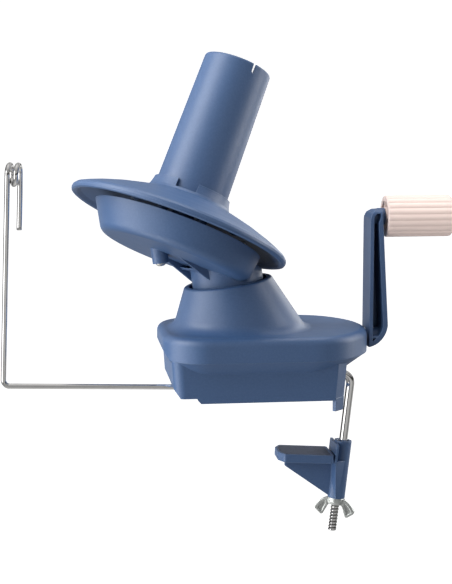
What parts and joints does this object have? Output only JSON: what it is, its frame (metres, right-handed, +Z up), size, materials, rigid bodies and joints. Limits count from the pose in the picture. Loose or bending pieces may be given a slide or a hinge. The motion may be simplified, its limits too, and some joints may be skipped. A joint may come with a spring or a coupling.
{
  "type": "yarn ball winder",
  "caption": "Hand-cranked yarn ball winder: tilted spool and flange disc on a turning neck, cranked housing, bent-wire yarn guide and table clamp.",
  "frame": {"origin": "on the flat underside of the lower housing, where the housing rests on the table edge", "axes": "+Z up, +X from the yarn guide towards the crank, +Y away from the side where the dish gussets and the guide's far tail are seen at rest"},
  "size_m": [0.2718, 0.1306, 0.2926],
  "materials": {
    "blue_plastic": "satin moulded slate blue",
    "grip_plastic": "satin pale pink beige",
    "bearing_plastic": "unfilled natural acetal",
    "steel": "turned steel",
    "bright_steel": "bright nickel plate",
    "zinc": "dull zinc plate over a cast surface",
    "pad_rubber": "matt dark slate rubber"
  },
  "bodies": {
    "housing": {"top_cover": "blue_plastic", "lower_housing": "blue_plastic", "housing_screws": "steel", "centre_post": "steel", "post_screw": "steel", "fixed_gear": "bearing_plastic", "fixed_gear_screw": "steel", "turret_top_washer": "bearing_plastic", "thrust_washer": "bearing_plastic", "crank_bush": "bearing_plastic", "bearing_block": "bearing_plastic", "block_screws": "steel"},
    "turret": {"turret_dish": "blue_plastic", "turret_pinion": "bearing_plastic", "spool_axle": "steel", "axle_screw": "bright_steel", "spool_thrust_washer": "bearing_plastic", "axle_cap_washer": "steel", "axle_cap_screw": "steel"},
    "spool": {"flange_disc": "blue_plastic", "spool_gear": "bearing_plastic", "gear_screws": "steel"},
    "tube": {"core_tube": "blue_plastic"},
    "crank": {"crank_shaft": "steel", "crown_gear": "bearing_plastic", "crown_gear_pin": "steel", "shaft_spacer": "bearing_plastic", "shaft_clip": "steel", "crank_arm": "blue_plastic", "crank_screw": "bright_steel", "grip_axle": "steel", "grip_screw": "steel"},
    "grip": {"crank_grip": "grip_plastic", "grip_cap": "grip_plastic"},
    "guide": {"guide_leg": "bright_steel", "guide_upright": "bright_steel", "guide_eye": "bright_steel", "guide_tail": "bright_steel", "guide_collar": "steel"},
    "rod": {"clamp_rod": "bright_steel", "rod_clip": "steel"},
    "jaw": {"clamp_jaw": "blue_plastic", "jaw_pad": "pad_rubber"},
    "nut": {"wing_nut": "zinc"}
  },
  "joints": [
    {"name": "turret_turn", "type": "hinge", "parent": "housing", "child": "turret", "pos_m": [-0.0244, 0, 0.0666], "axis": [-0.1392, 0, 0.9903], "continuous": true},
    {"name": "spool_spin", "type": "hinge", "parent": "turret", "child": "spool", "pos_m": [-0.03581, 0, 0.1478], "axis": [0.3664, 0.2036, 0.9079], "continuous": true},
    {"name": "tube_pull", "type": "slide", "parent": "spool", "child": "tube", "axis": [0.3664, 0.2036, 0.9079], "range_m": [0, 0.06]},
    {"name": "crank_turn", "type": "hinge", "parent": "housing", "child": "crank", "pos_m": [0.0606, 0, 0.0315], "axis": [1, 0, 0], "continuous": true},
    {"name": "grip_spin", "type": "hinge", "parent": "crank", "child": "grip", "pos_m": [0.092, 0, 0.1047], "axis": [1, 0, 0], "continuous": true},
    {"name": "guide_fold", "type": "hinge", "parent": "housing", "child": "guide", "pos_m": [-0.05, -0.014, 0.0055], "axis": [0.9996, 0, -0.0297], "range_deg": [-85, 85]},
    {"name": "rod_swing", "type": "hinge", "parent": "housing", "child": "rod", "pos_m": [0.03, 0, 0.0087], "axis": [1, 0, 0], "range_deg": [-15, 15]},
    {"name": "jaw_slide", "type": "slide", "parent": "rod", "child": "jaw", "axis": [0.1132, 0, 0.9936], "range_m": [-0.008, 0.024]},
    {"name": "nut_turn", "type": "hinge", "parent": "jaw", "child": "nut", "pos_m": [0.04289, 0, -0.07039], "axis": [0.1132, 0, 0.9936], "range_deg": [-1445, 4325]}
  ],
  "couplings": [
    {"joint": "crank_turn", "follows": "turret_turn", "ratio": 0.33333},
    {"joint": "spool_spin", "follows": "turret_turn", "ratio": 0.58065},
    {"joint": "nut_turn", "follows": "jaw_slide", "rad_per_m": 3141.6}
  ]
}
